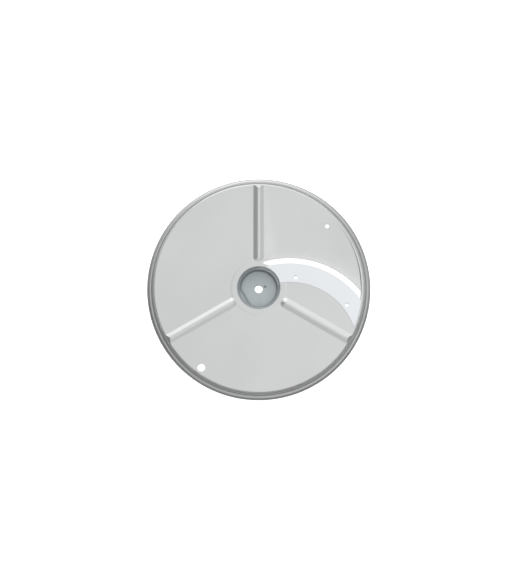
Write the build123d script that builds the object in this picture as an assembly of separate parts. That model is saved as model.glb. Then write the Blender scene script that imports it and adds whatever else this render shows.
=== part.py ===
from build123d import *
from math import acos, cos, degrees, radians, sin, tan
import os

# Slicing disc of a table-top food processor: pressed plate, curved blade and moulded drive hub.
# Millimetres. The axis of the disc is +Z, the working face is up and one rib runs along +Y.

# Sheet and rim
DISC_D = 175.0            # over the rolled rim
SHEET_T = 1.2             # stainless sheet of the plate
PLATE_Z = 11.0            # working face above the foot of the hub
RIM_DROP = 5.4            # working face down to the crest of the rolled rim
RIM_WALL_LEAN = 87.0      # slope of the stepped-down edge, degrees
RIM_FOOT_R = 0.5          # hollow between the step and the rolled rim
RIM_RISE = 30.0           # slope at which the roll leaves that hollow, degrees
RIM_CURL = 280.0          # how far the edge is rolled round, degrees

# Low ring round the hub
RING_H = 0.12
RING_TOP_R = 20.6
RING_SLOPE = 4.0          # degrees

# Three raised ribs
RIB_COUNT = 3
RIB_W = 8.4
RIB_TOP_W = 1.6
RIB_H = 1.4
RIB_START_R = 20.2        # tip of the rounded inner end
RIB_FOOT_R = 3.0
RIB_CREST_R = 3.0
RIB_SINK = 0.02           # foot of a rib under the working face, so that the two faces cross
RIB_END_R = 4.0           # rounding of the outer end
RIB_END_LIFT = 0.15       # start of that rounding above the crest
RIB_END_SHARE = 0.83      # how far the ribs run over the bend of the edge

# Blade, throat and ramp share one curve, centred off the axis of the disc
CURVE_AT = -63.8          # direction of its centre from the axis, degrees
BLADE_EDGE_R = 68.0       # cutting edge
BLADE_PASS = 13.7         # how near the circle of the cutting edge passes the axis
BLADE_W = 14.8
BLADE_T = 1.2
BLADE_EDGE_T = 0.15
BEVEL_W = 3.6
BLADE_OVERHANG = 4.0      # cutting edge past the front of its pan
BLADE_FIT = 0.1           # gap round the blade
BLADE_RIM_WEB = 0.6       # plate left between blade and rim
BLADE_HOLE_D = 3.0
BLADE_HOLE_INSET = 3.8    # hole centres from the back of the blade
BLADE_HOLE_HUB_GAP = 13.7  # along the curve, from the end at the hub to the nearer hole
BLADE_HOLE_RIM_GAP = 14.5  # the same at the rim
THROAT_W = 4.4            # gap before the cutting edge
THROAT_HUB_WEB = 2.2      # plate left between throat and hub
THROAT_RIM_WEB = 1.6      # plate left between throat and rim
THROAT_CORNER_R = 0.6
LIP_W = 4.5
LIP_DROP = 1.2            # foot of the ramp below the cutting edge, the thickness of a slice
LIP_RISE = 0.6            # how far the lip rises again towards the throat
RAMP_W = 31.0
RAMP_EDGE = 0.8           # level strip left at the rim
RAMP_RIM_SLOPE = 60.0     # side of the ramp at the rim, degrees
RAMP_RIB_SLOPE = 12.0     # side of the ramp at the rib, degrees

# Holes in the plate: distance from the axis, direction in degrees, diameter
PIN_HOLE = (72.4, 42.3, 3.6)
HANGING_HOLE = (76.9, 234.6, 6.2)

# Hub
HUB_MOUTH_R = 17.0
HUB_LIP_W = 0.2
HUB_LIP_R = 14.6          # foot of the steep lip
HUB_LIP_H = 3.2
HUB_FLOOR_R = 13.8
HUB_FLOOR_T = 3.5
HUB_FLANGE_W = 2.2
HUB_FLANGE_T = 2.52
HUB_BOSS_R = 16.0
HUB_BOSS_FLAT = 14.6      # flat of the drive boss from the axis
HUB_CUP_FLAT = 11.3       # foot of the cup's flat from the axis
HUB_FLAT_RUN = 2.6        # how far that flat leans out up to the foot of the lip
HUB_FLAT_AT = 210.0       # direction that both flats face, degrees
HUB_HOLE_D = 6.4
HUB_EDGE_R = 0.6
HUB_DIMPLE = (5.2, 20.0, 2.4)  # distance from the axis, direction in degrees, diameter
HUB_DIMPLE_H = 1.4

# Derived places
DISC_R = DISC_D / 2
BEND_R = 1.25 * SHEET_T   # tightest bend of the sheet
ROLL_R = 2.2 * SHEET_T    # rolled rim
LEAN = radians(RIM_WALL_LEAN)
RISE = radians(RIM_RISE)
RIM_WALL = (RIM_DROP - BEND_R * (1 - cos(LEAN)) + ROLL_R * (1 - cos(RISE))
            - RIM_FOOT_R * (cos(RISE) - cos(LEAN))) / sin(LEAN)
EDGE_R = (DISC_R - ROLL_R * (1 + sin(RISE)) - RIM_FOOT_R * (sin(RISE) + sin(LEAN))
          - RIM_WALL * cos(LEAN) - BEND_R * sin(LEAN))  # where the working face bends down
BLADE_BACK_R = BLADE_EDGE_R - BLADE_W
BLADE_END_R = EDGE_R - BLADE_RIM_WEB
PAN_FRONT_R = BLADE_EDGE_R - BLADE_OVERHANG
LIP_R = BLADE_EDGE_R + THROAT_W
RAMP_FOOT_R = LIP_R + LIP_W
RAMP_TOP_R = RAMP_FOOT_R + RAMP_W
RIB_REACH = EDGE_R + BEND_R * RIB_END_SHARE
RIB_WING = RIB_W / 2 + RIB_FOOT_R / 2  # half of a rib with its rounded foot
RIB_T = 1.04 * SHEET_T    # sheet over the hollow of a rib, measured upright
FILL_TOP = -SHEET_T / 4   # top of pressed-down sheet before it is hollowed, inside the flat sheet
CURVE_AWAY = BLADE_EDGE_R - BLADE_PASS  # centre of the curve from the axis
CURVE = Rot(0, 0, CURVE_AT) * Pos(CURVE_AWAY, 0, 0)
CURVE_FROM = 60.0         # the curve runs from beyond the rim to inside the hub, degrees
CURVE_TO = 180.0
TALL = 4 * PLATE_Z        # height of cutters that pass through everything


def sheet_side(x, z, steps, depth):
    """Edges along one side of a bent sheet that starts level; depth 0 is its upper side."""
    heading = 0.0
    here = Vector(x, 0, z - depth)
    edges = []
    for straight, radius, turn in steps:
        if straight > 0:
            ahead = here + Vector(cos(radians(heading)), 0, sin(radians(heading))) * straight
            edges.append(Edge.make_line(here, ahead))
            here = ahead
        if turn:
            side = 1 if turn > 0 else -1
            bend = radius + side * depth
            centre = here + Vector(-sin(radians(heading)), 0, cos(radians(heading))) * side * bend
            ends = []
            for part in (0.5, 1.0):
                angle = radians(heading + part * turn)
                ends.append(centre - Vector(-sin(angle), 0, cos(angle)) * side * bend)
            edges.append(Edge.make_three_point_arc(here, ends[0], ends[1]))
            here = ends[1]
            heading += turn
    return edges


def pressed_disc():
    """The round sheet: ring, working face, stepped-down edge and rolled rim."""
    ring_bend = 2 * SHEET_T
    ring_fall = 2 * ring_bend * (1 - cos(radians(RING_SLOPE)))
    ring_straight = (RING_H - ring_fall) / sin(radians(RING_SLOPE))
    ring_run = 2 * ring_bend * sin(radians(RING_SLOPE)) + ring_straight * cos(radians(RING_SLOPE))
    steps = [
        (RING_TOP_R - HUB_MOUTH_R, ring_bend, -RING_SLOPE),
        (ring_straight, ring_bend, RING_SLOPE),
        (EDGE_R - RING_TOP_R - ring_run, BEND_R, -RIM_WALL_LEAN),
        (RIM_WALL, RIM_FOOT_R, RIM_WALL_LEAN + RIM_RISE),
        (0.0, ROLL_R, -RIM_CURL),
    ]
    upper = sheet_side(HUB_MOUTH_R, RING_H, steps, 0.0)
    lower = sheet_side(HUB_MOUTH_R, RING_H, steps, SHEET_T)
    inner_end = Edge.make_line(upper[0] @ 0, lower[0] @ 0)
    outer_end = Edge.make_line(upper[-1] @ 1, lower[-1] @ 1)
    section = Face(Wire(upper + lower + [inner_end, outer_end]))
    return revolve(section, Axis.Z, 360)


def curve_band(points, stop=CURVE_TO):
    """Solid swept round the blade's curve from a section of (radius, height) points."""
    section = make_face(Plane.XZ * Polyline(*points, close=True))
    band = revolve(section, Axis.Z, stop - CURVE_FROM)
    return CURVE * Rot(0, 0, CURVE_FROM) * band


def curve_block(inner, outer, low, high, stop=CURVE_TO):
    """Curved block between two radii about the blade's curve."""
    return curve_band([(inner, low), (outer, low), (outer, high), (inner, high)], stop)


def curve_angle(along, reach):
    """Direction about the blade's curve where its radius along lies at reach from the axis, degrees."""
    return degrees(acos((reach ** 2 - CURVE_AWAY ** 2 - along ** 2) / (2 * along * CURVE_AWAY)))


def round_post(radius, low, high):
    """Upright cylinder on the axis of the disc."""
    return Pos(0, 0, low) * Cylinder(radius, high - low, align=(Align.CENTER, Align.CENTER, Align.MIN))


def rib(base, reach):
    """Raised rib along +Y, its foot at height 0, reaching down by base and out to reach."""
    half_w = RIB_W / 2
    outline = [(0, -base), (0, RIB_H), (RIB_TOP_W / 2, RIB_H), (half_w, 0), (RIB_WING, 0), (RIB_WING, -base)]
    half = make_face(Polyline(*outline, close=True))
    crest = half.vertices().sort_by_distance((RIB_TOP_W / 2, RIB_H, 0))[0]
    half = fillet(crest, RIB_CREST_R)
    foot = half.vertices().sort_by_distance((half_w, 0, 0))[0]
    half = Plane.XZ * fillet(foot, RIB_FOOT_R)
    start = RIB_START_R + half_w
    side = Pos(0, start, 0) * extrude(half, amount=-(DISC_R - start))
    nose = Pos(0, start, 0) * Rot(0, 0, 180) * revolve(half, Axis.Z, 180)
    return (side + mirror(side, Plane.YZ) + nose) & rib_limit(reach)


def rib_limit(reach):
    """Round body that trims the outer end of a rib to a rounded shoulder."""
    top = RIB_H + RIB_END_LIFT
    half = make_face(Polyline((0, -TALL), (0, top), (reach, top), (reach, -TALL), close=True))
    corner = half.vertices().sort_by_distance((reach, top, 0))[0]
    return revolve(Plane.XZ * fillet(corner, RIB_END_R), Axis.Z, 360)


def ramp_bounds(under):
    """Space beside the rib and inside the rim, with sides that close in downwards, lower by a sheet under."""
    half = PLATE_Z
    rim_slope = radians(RAMP_RIM_SLOPE)
    rib_slope = radians(RAMP_RIB_SLOPE)
    outer = EDGE_R - RAMP_EDGE
    run = half / tan(rim_slope)
    inside_rim = Pos(0, 0, -under / cos(rim_slope)) * Cone(outer - run, outer + run, 2 * half)
    run = half / tan(rib_slope)
    outline = [(RIB_WING + run, -half), (RIB_WING - run, half), (DISC_D, half), (DISC_D, -half)]
    beside_rib = extrude(make_face(Plane.XZ * Polyline(*outline, close=True)), amount=DISC_D, both=True)
    return inside_rim & Pos(0, 0, -under / cos(rib_slope)) * beside_rib


def ramp_body(low, high):
    """Space between the ramp with its lip, pressed down by low, and the height high."""
    past_top = RAMP_TOP_R + (high + low) * RAMP_W / LIP_DROP
    start = LIP_R - THROAT_W / 2
    floor = -LIP_DROP - low
    lip = floor + LIP_RISE * (RAMP_FOOT_R - start) / LIP_W
    return curve_band([(start, lip), (RAMP_FOOT_R, floor), (past_top, high), (start, high)])


def pan_body(grow, low, high):
    """Space of the blade's pan, wider by grow all round."""
    space = curve_block(BLADE_BACK_R - BLADE_FIT - grow, BLADE_EDGE_R + BLADE_FIT + grow, low, high)
    return space & round_post(BLADE_END_R + BLADE_FIT + grow, low, high)


def throat():
    """Curved gap in the plate under and before the cutting edge, as far as the edge meets the hub."""
    gap = curve_block(PAN_FRONT_R, LIP_R, -TALL, TALL, curve_angle(BLADE_EDGE_R, HUB_MOUTH_R))
    gap = gap & round_post(EDGE_R - THROAT_RIM_WEB, -TALL, TALL)
    gap = gap - round_post(HUB_MOUTH_R + THROAT_HUB_WEB, -TALL, TALL)
    return fillet(gap.edges().filter_by(Axis.Z), THROAT_CORNER_R)


def through_hole(radius, direction, diameter):
    """Cutter for a round hole, placed by its distance and direction from the axis."""
    return Rot(0, 0, direction) * Pos(radius, 0, 0) * Cylinder(diameter / 2, 2 * TALL)


def blade_holes():
    """Cutters for the two locating holes of the blade, placed from its ends."""
    along = BLADE_BACK_R + BLADE_HOLE_INSET
    near_hub = curve_angle(along, HUB_MOUTH_R) - degrees(BLADE_HOLE_HUB_GAP / along)
    near_rim = curve_angle(along, BLADE_END_R) + degrees(BLADE_HOLE_RIM_GAP / along)
    return [CURVE * through_hole(along, angle, BLADE_HOLE_D) for angle in (near_hub, near_rim)]


def pan_tray():
    """Sheet pressed down to carry the blade."""
    return pan_body(SHEET_T, -BLADE_T - SHEET_T, FILL_TOP)


def plate():
    """Pressed plate with its ramp, pan, throat, ribs and holes."""
    sheet = pressed_disc() + pan_tray()
    sheet += ramp_body(SHEET_T, FILL_TOP) & ramp_bounds(SHEET_T)
    sheet -= ramp_body(0, RING_H + RIB_H) & ramp_bounds(0)
    sheet -= pan_body(0, -BLADE_T, TALL)
    sheet -= throat()
    sheet -= round_post(HUB_MOUTH_R, -TALL, TALL)
    rise = Pos(0, 0, -RIB_SINK) * rib(SHEET_T / 2, RIB_REACH)
    groove = Pos(0, 0, -RIB_T) * rib(SHEET_T, RIB_REACH - SHEET_T)
    for index in range(RIB_COUNT):
        turn = Rot(0, 0, 360 / RIB_COUNT * index)
        sheet = sheet + turn * rise - turn * groove
    for hole in (PIN_HOLE, HANGING_HOLE):
        sheet -= through_hole(*hole)
    for hole in blade_holes():
        sheet -= hole
    return sheet


def blade():
    """Curved blade, flush with the working face, ground to an edge from below."""
    section = [
        (BLADE_BACK_R, -BLADE_T),
        (BLADE_EDGE_R - BEVEL_W, -BLADE_T),
        (BLADE_EDGE_R, -BLADE_EDGE_T),
        (BLADE_EDGE_R, 0),
        (BLADE_BACK_R, 0),
    ]
    body = curve_band(section) & round_post(BLADE_END_R, -TALL, TALL)
    body -= round_post(HUB_MOUTH_R + BLADE_FIT, -TALL, TALL)
    for hole in blade_holes():
        body -= hole
    return body


def beyond_flat(distance, run, low, high):
    """Block beyond a flat that faces the hub's flat direction and leans out by run from low to high."""
    outline = [(distance, low), (distance + run, high), (TALL, high), (TALL, low)]
    block = extrude(make_face(Plane.XZ * Polyline(*outline, close=True)), amount=TALL, both=True)
    return Rot(0, 0, HUB_FLAT_AT) * block


def turned(points):
    """Solid of revolution on the axis of the disc from (radius, height) points."""
    return revolve(make_face(Plane.XZ * Polyline(*points, close=True)), Axis.Z, 360)


def hub():
    """Moulded hub: D-shaped cup above, flange under the plate, D-shaped drive boss below."""
    foot = -PLATE_Z
    floor = foot + HUB_FLOOR_T
    flange_top = RING_H - SHEET_T
    flange_low = flange_top - HUB_FLANGE_T
    flange_r = HUB_MOUTH_R + HUB_FLANGE_W
    body = turned([(0, foot), (HUB_BOSS_R, foot), (HUB_BOSS_R, flange_low), (flange_r, flange_low),
                   (flange_r, flange_top), (HUB_MOUTH_R, flange_top), (HUB_MOUTH_R, RING_H), (0, RING_H)])
    body -= beyond_flat(HUB_BOSS_FLAT, 0, foot, flange_low)
    body = fillet(body.edges().group_by(Axis.Z)[0], HUB_EDGE_R)
    cup = turned([(0, floor), (HUB_FLOOR_R, floor), (HUB_LIP_R, RING_H - HUB_LIP_H),
                  (HUB_MOUTH_R - HUB_LIP_W, RING_H), (HUB_MOUTH_R - HUB_LIP_W, TALL), (0, TALL)])
    cup -= beyond_flat(HUB_CUP_FLAT, HUB_FLAT_RUN, floor, RING_H - HUB_LIP_H)
    body -= cup
    body -= Cylinder(HUB_HOLE_D / 2, 2 * TALL)
    away, direction, width = HUB_DIMPLE
    dimple = Cone(0, width / 2, HUB_DIMPLE_H, align=(Align.CENTER, Align.CENTER, Align.MAX))
    body -= Rot(0, 0, direction) * Pos(away, 0, floor) * dimple
    return body - pan_tray()


os.makedirs("parts", exist_ok=True)
for name, make in (("plate", plate), ("blade", blade), ("hub", hub)):
    export_step(Pos(0, 0, PLATE_Z) * make(), f"parts/{name}.step")
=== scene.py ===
# %% [markdown]
# # A slicing disc for a food processor
#
# The real disc is a stainless plate, pressed with three ribs and a rolled rim, with a curved
# blade let into it and a moulded grey hub in its middle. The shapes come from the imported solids.
# This lesson gives them what solids lack: smooth faces with crisp edges, real finishes, a table,
# light and a camera. Everything is in metres, and the solids are never moved.

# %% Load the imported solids
import math

import bpy
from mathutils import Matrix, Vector


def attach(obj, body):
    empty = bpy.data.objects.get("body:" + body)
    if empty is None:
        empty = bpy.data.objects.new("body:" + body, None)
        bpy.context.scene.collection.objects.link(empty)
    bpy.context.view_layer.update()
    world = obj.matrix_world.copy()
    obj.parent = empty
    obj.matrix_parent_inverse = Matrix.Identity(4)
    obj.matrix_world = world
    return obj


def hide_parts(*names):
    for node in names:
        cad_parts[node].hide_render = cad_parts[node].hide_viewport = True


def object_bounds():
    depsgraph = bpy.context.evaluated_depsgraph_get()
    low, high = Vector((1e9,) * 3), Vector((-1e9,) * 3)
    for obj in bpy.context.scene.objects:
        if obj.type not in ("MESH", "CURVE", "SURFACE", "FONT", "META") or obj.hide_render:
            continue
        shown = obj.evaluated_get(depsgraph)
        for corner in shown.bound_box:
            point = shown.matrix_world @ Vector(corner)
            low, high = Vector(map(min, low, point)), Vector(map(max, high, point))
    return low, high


MM = 0.001
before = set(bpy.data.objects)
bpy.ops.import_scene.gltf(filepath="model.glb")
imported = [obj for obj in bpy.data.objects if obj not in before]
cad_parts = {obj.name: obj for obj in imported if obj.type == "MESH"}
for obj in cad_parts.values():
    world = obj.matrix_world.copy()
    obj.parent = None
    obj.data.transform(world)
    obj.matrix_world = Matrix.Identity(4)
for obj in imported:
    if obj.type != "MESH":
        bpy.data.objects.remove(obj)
cad_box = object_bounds()


def in_mm(box):
    """Corners of a box in millimetres, to a tenth."""
    return [[round(value / MM, 1) for value in corner] for corner in box]


print("solids:", ", ".join(sorted(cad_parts)))
print("box in mm:", in_mm(cad_box))

# %% [markdown]
# ## Skins for the three pieces
#
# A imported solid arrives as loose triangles, each shaded flat, so its bends would show as facets.
# One could smooth it by hand, or model it again. Here a copy of its mesh is merged, smoothed below
# a crease angle and given weighted normals, so that wide flat faces stay flat beside tight bends.
# The copy then stands for the solid, in the same place.

# %% Copy, merge and smooth a solid's mesh
MERGE_AT = 0.001 * MM
CREASE = 32  # degrees


def select_only(piece):
    """Leave one piece selected and active, because an operator acts on all that is selected."""
    bpy.ops.object.select_all(action="DESELECT")
    piece.select_set(True)
    bpy.context.view_layer.objects.active = piece


def skin_of(node, name):
    """Smooth copy of a solid's mesh, creased where faces meet at more than the crease angle."""
    skin = bpy.data.objects.new(name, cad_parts[node].data.copy())
    skin.data.name = name
    bpy.context.scene.collection.objects.link(skin)
    select_only(skin)
    bpy.ops.mesh.customdata_custom_splitnormals_clear()
    bpy.ops.object.mode_set(mode="EDIT")
    bpy.ops.mesh.select_all(action="SELECT")
    bpy.ops.mesh.remove_doubles(threshold=MERGE_AT)
    bpy.ops.object.mode_set(mode="OBJECT")
    bpy.ops.object.shade_smooth_by_angle(angle=math.radians(CREASE))
    weighted = skin.modifiers.new("flat faces first", "WEIGHTED_NORMAL")
    weighted.keep_sharp = True
    bpy.ops.object.modifier_apply(modifier=weighted.name)
    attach(skin, "root")
    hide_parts(node)
    print(name, "has", len(skin.data.vertices), "points and", len(skin.data.polygons), "faces")
    return skin


# %% The plate, the blade and the hub
plate = skin_of("plate", "pressed_plate")
blade = skin_of("blade", "curved_blade")
hub = skin_of("hub", "drive_hub")

# %% [markdown]
# ## Colours and nodes
#
# Colours are chosen as sRGB hex values, as a paint picker shows them, and a shader wants them
# linear, so one function turns them. Nodes could be added and wired one line at a time. Here one
# small function adds a node, sets it and links it, which keeps each material below short enough to
# read as a list of what the finish is made of.


# %% Helpers for every material
def linear(code):
    """Linear RGBA of an sRGB hex colour."""
    channels = [int(code[at:at + 2], 16) / 255 for at in (1, 3, 5)]
    curve = [c / 12.92 if c <= 0.04045 else ((c + 0.055) / 1.055) ** 2.4 for c in channels]
    return (*curve, 1.0)


def join(tree, node, links):
    """Link outputs to the inputs of a node, which are given by name or number."""
    for socket, output in links.items():
        tree.links.new(output, node.inputs[socket])


def add(tree, kind, links=None, **settings):
    """Add one node; settings fill its inputs or fields, links join its inputs to outputs."""
    node = tree.nodes.new(kind)
    for name, value in settings.items():
        socket = name.replace("_", " ").title()
        if socket in node.inputs:
            node.inputs[socket].default_value = value
        else:
            setattr(node, name, value)
    join(tree, node, links or {})
    return node


def new_finish(name):
    """New material with its node tree and its Principled shader."""
    finish = bpy.data.materials.new(name)
    finish.use_nodes = True
    return finish, finish.node_tree, finish.node_tree.nodes["Principled BSDF"]


def put_on(piece, finish):
    """Give the whole piece one material."""
    piece.data.materials.clear()
    piece.data.materials.append(finish)
    print(piece.name, "wears", finish.name)


print("grey #808080 is", round(linear("#808080")[0], 3), "in linear light")

# %% [markdown]
# ## Satin stainless steel for the plate
#
# The plate is stainless sheet with a satin surface, as blasting leaves it. The eye gets an even, pale,
# barely cool grey with no mirror image in it, and slopes that turn lighter or darker with the light.
# It could be brushed with long lines, but this disc shows none. A fine grit gives the bump, drawn
# coarser than the real one, which is far under a pixel, and a slow cloud varies tint and gloss.

# %% Satin stainless steel
GRIT = 0.7 * MM
GRIT_DEPTH = 0.02 * MM
GRIT_BUMP = 0.08
CLOUD = 45 * MM
SATIN_TINTS = ((0.35, "#C6C7C7"), (0.65, "#CACBCB"))  # place in the cloud's range, colour
SATIN_ROUGHNESS = (0.40, 0.45)

satin, tree, shader = new_finish("satin_stainless_steel")
shader.inputs["Metallic"].default_value = 1.0
spot = add(tree, "ShaderNodeTexCoord").outputs["Object"]
cloud = add(tree, "ShaderNodeTexNoise", {"Vector": spot}, scale=1 / CLOUD, detail=2.0)
grit = add(tree, "ShaderNodeTexNoise", {"Vector": spot}, scale=1 / GRIT, detail=2.0)
tint = add(tree, "ShaderNodeValToRGB", {"Fac": cloud.outputs["Fac"]})
for stop, (position, code) in zip(tint.color_ramp.elements, SATIN_TINTS):
    stop.position = position
    stop.color = linear(code)
gloss = add(tree, "ShaderNodeMapRange", {"Value": cloud.outputs["Fac"]},
            to_min=SATIN_ROUGHNESS[0], to_max=SATIN_ROUGHNESS[1])
bump = add(tree, "ShaderNodeBump", {"Height": grit.outputs["Fac"]},
           strength=GRIT_BUMP, distance=GRIT_DEPTH)
join(tree, shader, {"Roughness": gloss.outputs["Result"], "Normal": bump.outputs["Normal"]})
print(satin.name, "is made of", len(tree.nodes), "nodes so far")

# %% [markdown]
# ## Painted shade on the rim
#
# The rolled rim looks a tone darker than the plate, and less so on its far side. That is shade from
# the light, darkest where the rim faces the dim near side, so here it is painted into the steel's
# colour: painted shade on the rim, and painted light that makes it paler on the far side. The rim
# could have a material of its own, but the border would be a hard line. Here the painted shade fades
# in across the step, by the distance from the axis, and gets paler towards the far side, by how far
# back a point lies.

# %% Painted shade on the rim
DISC_R = cad_box[1].x          # outside of the rolled rim
RIM_FROM = DISC_R - 4.9 * MM   # wall of the step
RIM_TO = DISC_R - 3.9 * MM     # start of the roll
# painted shade: the rim's colour is darkened to this, in place of the shade the light gives it
RIM_PAINTED_SHADE = 0.73
FAR_FROM = DISC_R - 52.5 * MM  # how far back the rim starts to get paler, and where it is palest
FAR_TO = DISC_R - 9.5 * MM
# painted light: on the far side, towards the strongest soft box, the painted shade is lighter
FAR_PAINTED_SHADE = 0.90

flat = add(tree, "ShaderNodeVectorMath", {0: spot}, operation="MULTIPLY")
flat.inputs[1].default_value = (1, 1, 0)  # leaves the height out
from_axis = add(tree, "ShaderNodeVectorMath", {0: flat.outputs["Vector"]}, operation="LENGTH")
back = add(tree, "ShaderNodeSeparateXYZ", {"Vector": spot}).outputs["Y"]
# painted light: the rim's painted shade is lifted towards the far side
rim_painted_shade_round = add(tree, "ShaderNodeMapRange", {"Value": back}, interpolation_type="SMOOTHSTEP",
                from_min=FAR_FROM, from_max=FAR_TO, to_min=RIM_PAINTED_SHADE, to_max=FAR_PAINTED_SHADE)
# painted shade: darkens the steel's colour across the step and over the rolled rim
painted_shade_tone = add(tree, "ShaderNodeMapRange",
           {"Value": from_axis.outputs["Value"], "To Max": rim_painted_shade_round.outputs["Result"]},
           interpolation_type="SMOOTHSTEP", from_min=RIM_FROM, from_max=RIM_TO, to_min=1.0)
steel_with_painted_shade = add(tree, "ShaderNodeHueSaturation",
            {"Color": tint.outputs["Color"], "Value": painted_shade_tone.outputs["Result"]})
join(tree, shader, {"Base Color": steel_with_painted_shade.outputs["Color"]})
put_on(plate, satin)

# %% [markdown]
# ## Ground steel for the blade
#
# The blade is hardened stainless strip, bent to its curve and ground. Beside the satin plate it
# looks brighter and a touch bluer. The grinding wheel runs along the blade, so its lines follow the
# curve. They could be painted as streaks across the whole piece, but lines worked out from the
# distance to the centre of the curve stay parallel to the edge all along it. Real lines are about a
# tenth as wide as these, which are drawn wide enough to show.

# %% Ground blade steel
CURVE_AWAY = 54.3 * MM  # centre of the blade's curve from the axis of the disc
CURVE_AT = -63.8        # its direction from +X, degrees
LINE_WIDTH = 0.5 * MM
LINE_DEPTH = 0.01 * MM
LINE_BUMP = 0.06
SMEAR = 20 * MM
GROUND_TINTS = ((0.3, "#D7DADC"), (0.7, "#DEE1E3"))  # place in the lines' range, colour
GROUND_ROUGHNESS = (0.34, 0.40)


def heading(turn, height):
    """Direction of length 1, turned from +X and raised from level by degrees."""
    turn, height = math.radians(turn), math.radians(height)
    level = math.cos(height)
    return Vector((math.cos(turn) * level, math.sin(turn) * level, math.sin(height)))


ground, tree, shader = new_finish("ground_blade_steel")
shader.inputs["Metallic"].default_value = 1.0
spot = add(tree, "ShaderNodeTexCoord").outputs["Object"]
across = add(tree, "ShaderNodeVectorMath", {0: spot}, operation="DISTANCE")
across.inputs[1].default_value = heading(CURVE_AT, 0) * CURVE_AWAY
lines = add(tree, "ShaderNodeTexNoise", {"W": across.outputs["Value"]}, noise_dimensions="1D",
            scale=1 / LINE_WIDTH, detail=3.0)
smear = add(tree, "ShaderNodeTexNoise", {"Vector": spot}, scale=1 / SMEAR)
tint = add(tree, "ShaderNodeValToRGB", {"Fac": lines.outputs["Fac"]})
for stop, (position, code) in zip(tint.color_ramp.elements, GROUND_TINTS):
    stop.position = position
    stop.color = linear(code)
gloss = add(tree, "ShaderNodeMapRange", {"Value": smear.outputs["Fac"]},
            to_min=GROUND_ROUGHNESS[0], to_max=GROUND_ROUGHNESS[1])
bump = add(tree, "ShaderNodeBump", {"Height": lines.outputs["Fac"]},
           strength=LINE_BUMP, distance=LINE_DEPTH)
join(tree, shader, {"Base Color": tint.outputs["Color"], "Roughness": gloss.outputs["Result"],
                    "Normal": bump.outputs["Normal"]})
put_on(blade, ground)

# %% [markdown]
# ## Moulded polyamide for the hub
#
# The hub is an injection moulding, most likely of blue-grey polyamide. A spark-eroded mould leaves a
# fine, even, dull grain, and the resin flows into it with faint streaks of tone. It could be one
# grey, but then it would look like painted card. A small grain gives the bump, drawn coarser than the
# real one, which is far under a pixel. A slow flow gives the streaks, and the shine stays low, as on
# a plastic that holds some glass fibre.

# %% Moulded polyamide
POLYAMIDE_IOR = 1.53
SPARK_GRAIN = 0.6 * MM
GRAIN_DEPTH = 0.03 * MM
GRAIN_BUMP = 0.15
FLOW = 14 * MM
MOULDED_TINTS = ((0.3, "#B1B9BB"), (0.7, "#B7BFC1"))  # place in the flow's range, colour
MOULDED_ROUGHNESS = (0.50, 0.62)

moulded, tree, shader = new_finish("moulded_grey_polyamide")
shader.inputs["IOR"].default_value = POLYAMIDE_IOR
place = add(tree, "ShaderNodeTexCoord")
spot = place.outputs["Object"]
flow = add(tree, "ShaderNodeTexNoise", {"Vector": spot}, scale=1 / FLOW, detail=3.0, distortion=1.5)
grain = add(tree, "ShaderNodeTexNoise", {"Vector": spot}, scale=1 / SPARK_GRAIN, detail=2.0)
tint = add(tree, "ShaderNodeValToRGB", {"Fac": flow.outputs["Fac"]})
for stop, (position, code) in zip(tint.color_ramp.elements, MOULDED_TINTS):
    stop.position = position
    stop.color = linear(code)
gloss = add(tree, "ShaderNodeMapRange", {"Value": grain.outputs["Fac"]},
            to_min=MOULDED_ROUGHNESS[0], to_max=MOULDED_ROUGHNESS[1])
bump = add(tree, "ShaderNodeBump", {"Height": grain.outputs["Fac"]},
           strength=GRAIN_BUMP, distance=GRAIN_DEPTH)
join(tree, shader, {"Roughness": gloss.outputs["Result"], "Normal": bump.outputs["Normal"]})
print(moulded.name, "is made of", len(tree.nodes), "nodes so far")

# %% [markdown]
# ## Painted shade on the hub's walls
#
# The hub's steep faces look darker than its floor, by more than the light in this scene gives them,
# as they lie in the shade of the cup. That shade is painted into the resin's colour. Each wall could
# have a material of its own, but the faces run into each other. Here the painted shade follows how
# steep a face is, read from the way it faces on the piece, so it is the same from every side.

# %% Painted shade on the walls
# painted shade: how dark an upright wall of the hub is painted, in place of the shade in the cup
WALL_PAINTED_SHADE = 0.40

facing = add(tree, "ShaderNodeSeparateXYZ", {"Vector": place.outputs["Normal"]})
level = add(tree, "ShaderNodeMath", {0: facing.outputs["Z"]}, operation="ABSOLUTE")
# painted shade: the steeper a face, the darker its colour is painted
painted_shade_tone = add(tree, "ShaderNodeMapRange", {"Value": level.outputs[0]}, to_min=WALL_PAINTED_SHADE, to_max=1.0)
resin_with_painted_shade = add(tree, "ShaderNodeHueSaturation",
            {"Color": tint.outputs["Color"], "Value": painted_shade_tone.outputs["Result"]})
join(tree, shader, {"Base Color": resin_with_painted_shade.outputs["Color"]})
put_on(hub, moulded)

# %% [markdown]
# ## A white table
#
# The disc lies on a white studio table that is lit until it has no tone left. A bright floor would
# do that, but it would also light every slope of the steel from below. So the table glows for the
# camera alone, and to the steel it is an ordinary pale surface that takes its light from above.

# %% The table top
TABLE_SIZE = 8.0  # metres
TABLE_TINT = "#EFEFEF"
TABLE_ROUGHNESS = 0.9
WHITE = linear("#FFFFFF")

bpy.ops.object.select_all(action="DESELECT")
bpy.ops.mesh.primitive_plane_add(size=TABLE_SIZE, location=(0, 0, 0))
table = bpy.context.object
table.name = "white_table"
paper, tree, shader = new_finish("white_table_paper")
shader.inputs["Base Color"].default_value = linear(TABLE_TINT)
shader.inputs["Roughness"].default_value = TABLE_ROUGHNESS
shader.inputs["Emission Color"].default_value = WHITE
seen = add(tree, "ShaderNodeLightPath")
join(tree, shader, {"Emission Strength": seen.outputs["Is Camera Ray"]})
put_on(table, paper)

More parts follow.
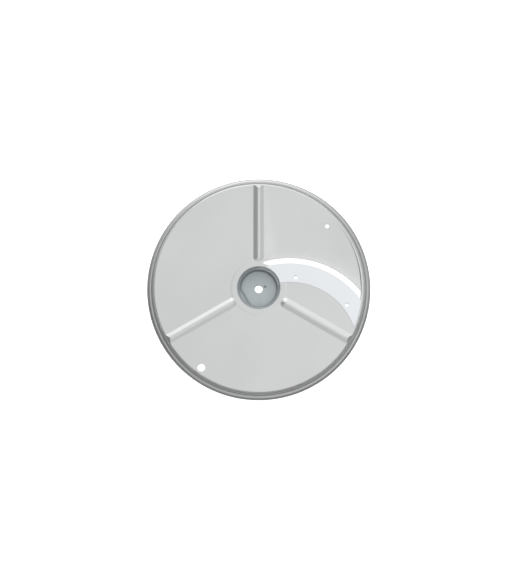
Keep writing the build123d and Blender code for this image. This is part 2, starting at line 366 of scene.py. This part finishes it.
# %% [markdown]
# ## Soft studio light
#
# Satin steel shows the light more than its own colour: the slopes of the ribs and the rim are pale
# or dark by what stands opposite them. Soft boxes could be area lamps, but their edges show in the
# steel. Here each one is a round patch on the studio sky that fades out softly, placed by its
# direction alone. The strongest stands low behind the disc, beyond its far side, and the others are
# less than half as bright, which draws the rim's near edge dark. The table hides the one underneath,
# which is there for a look at the hub's foot without the table. To the camera the sky is plain and
# pale.

# %% Patches of light on the sky
SOFT_BOXES = (
    # name, direction from +X, height, half width of the bright core and of the fade, all in degrees,
    # and brightness
    ("overhead", 270, 88, 10, 45, 0.54),
    ("high_behind", 60, 72, 5, 30, 0.76),
    ("low_behind", 90, 30, 10, 38, 1.95),
    ("low_behind_left", 120, 20, 10, 40, 0.76),
    ("low_left", 150, 20, 10, 40, 0.41),
    ("low_right", 30, 20, 10, 40, 0.71),
    ("right", 0, 50, 10, 40, 0.45),
    ("near_right", 300, 50, 10, 40, 0.61),
    ("near_left", 240, 50, 10, 40, 0.70),
    ("underneath", 270, -80, 30, 80, 0.45),
)

sky = bpy.data.worlds.new("soft_studio_sky")
sky.use_nodes = True
bpy.context.scene.world = sky
tree = sky.node_tree
toward = add(tree, "ShaderNodeTexCoord").outputs["Generated"]
light = None
for name, turn, height, core, fade, brightness in SOFT_BOXES:
    aligned = add(tree, "ShaderNodeVectorMath", {0: toward}, operation="DOT_PRODUCT")
    aligned.inputs[1].default_value = heading(turn, height)
    patch = add(tree, "ShaderNodeMapRange", {"Value": aligned.outputs["Value"]},
                interpolation_type="SMOOTHSTEP", from_min=math.cos(math.radians(fade)),
                from_max=math.cos(math.radians(core)), to_max=brightness).outputs["Result"]
    light = add(tree, "ShaderNodeMath", {0: light, 1: patch}).outputs[0] if light else patch
    print(name, "soft box of brightness", brightness)

# %% A plain pale sky for the camera
BACKDROP_TINT = "#F4F4F4"

studio = tree.nodes["Background"]
studio.inputs["Color"].default_value = WHITE
join(tree, studio, {"Strength": light})
backdrop = add(tree, "ShaderNodeBackground", color=linear(BACKDROP_TINT))
seen = add(tree, "ShaderNodeLightPath")
both = add(tree, "ShaderNodeMixShader",
           {0: seen.outputs["Is Camera Ray"], 1: studio.outputs[0], 2: backdrop.outputs[0]})
join(tree, tree.nodes["World Output"], {"Surface": both.outputs[0]})
print(sky.name, "has", len(SOFT_BOXES), "soft boxes and a backdrop of", BACKDROP_TINT)

# %% [markdown]
# ## The camera
#
# The photograph looks almost straight down, a little from the near side, so the rim shows more of
# its step there and the cup's far wall is seen. A long lens is taken, as is usual for such a picture.
# The camera could be moved by eye until the disc fits. Here its distance follows from the lens and
# from how many millimetres of the disc one pixel covers, so it stays right when either changes.

# %% Camera
PHOTO_H = 580          # pixels
MM_PER_PIXEL = 0.783
LENS = 150.0           # focal length, millimetres
SENSOR = 36.0          # longer side, millimetres
NEAR_SIDE = 270        # direction from +X, degrees
TILT = 8.5             # from straight down, degrees
AIM = Vector((0.6, -0.7, 3.0)) * MM  # what the middle of the picture shows

camera_data = bpy.data.cameras.new("camera")
camera_data.lens = LENS
camera_data.sensor_width = SENSOR
camera = bpy.data.objects.new("camera", camera_data)
bpy.context.scene.collection.objects.link(camera)
away = PHOTO_H * MM_PER_PIXEL * MM * LENS / SENSOR
camera.location = AIM + heading(NEAR_SIDE, 90 - TILT) * away
camera.rotation_euler = (math.radians(TILT), 0, 0)
bpy.context.scene.camera = camera
bpy.context.scene.view_settings.view_transform = "Standard"
print("camera", round(away, 2), "m away, tilted by", TILT, "degrees")
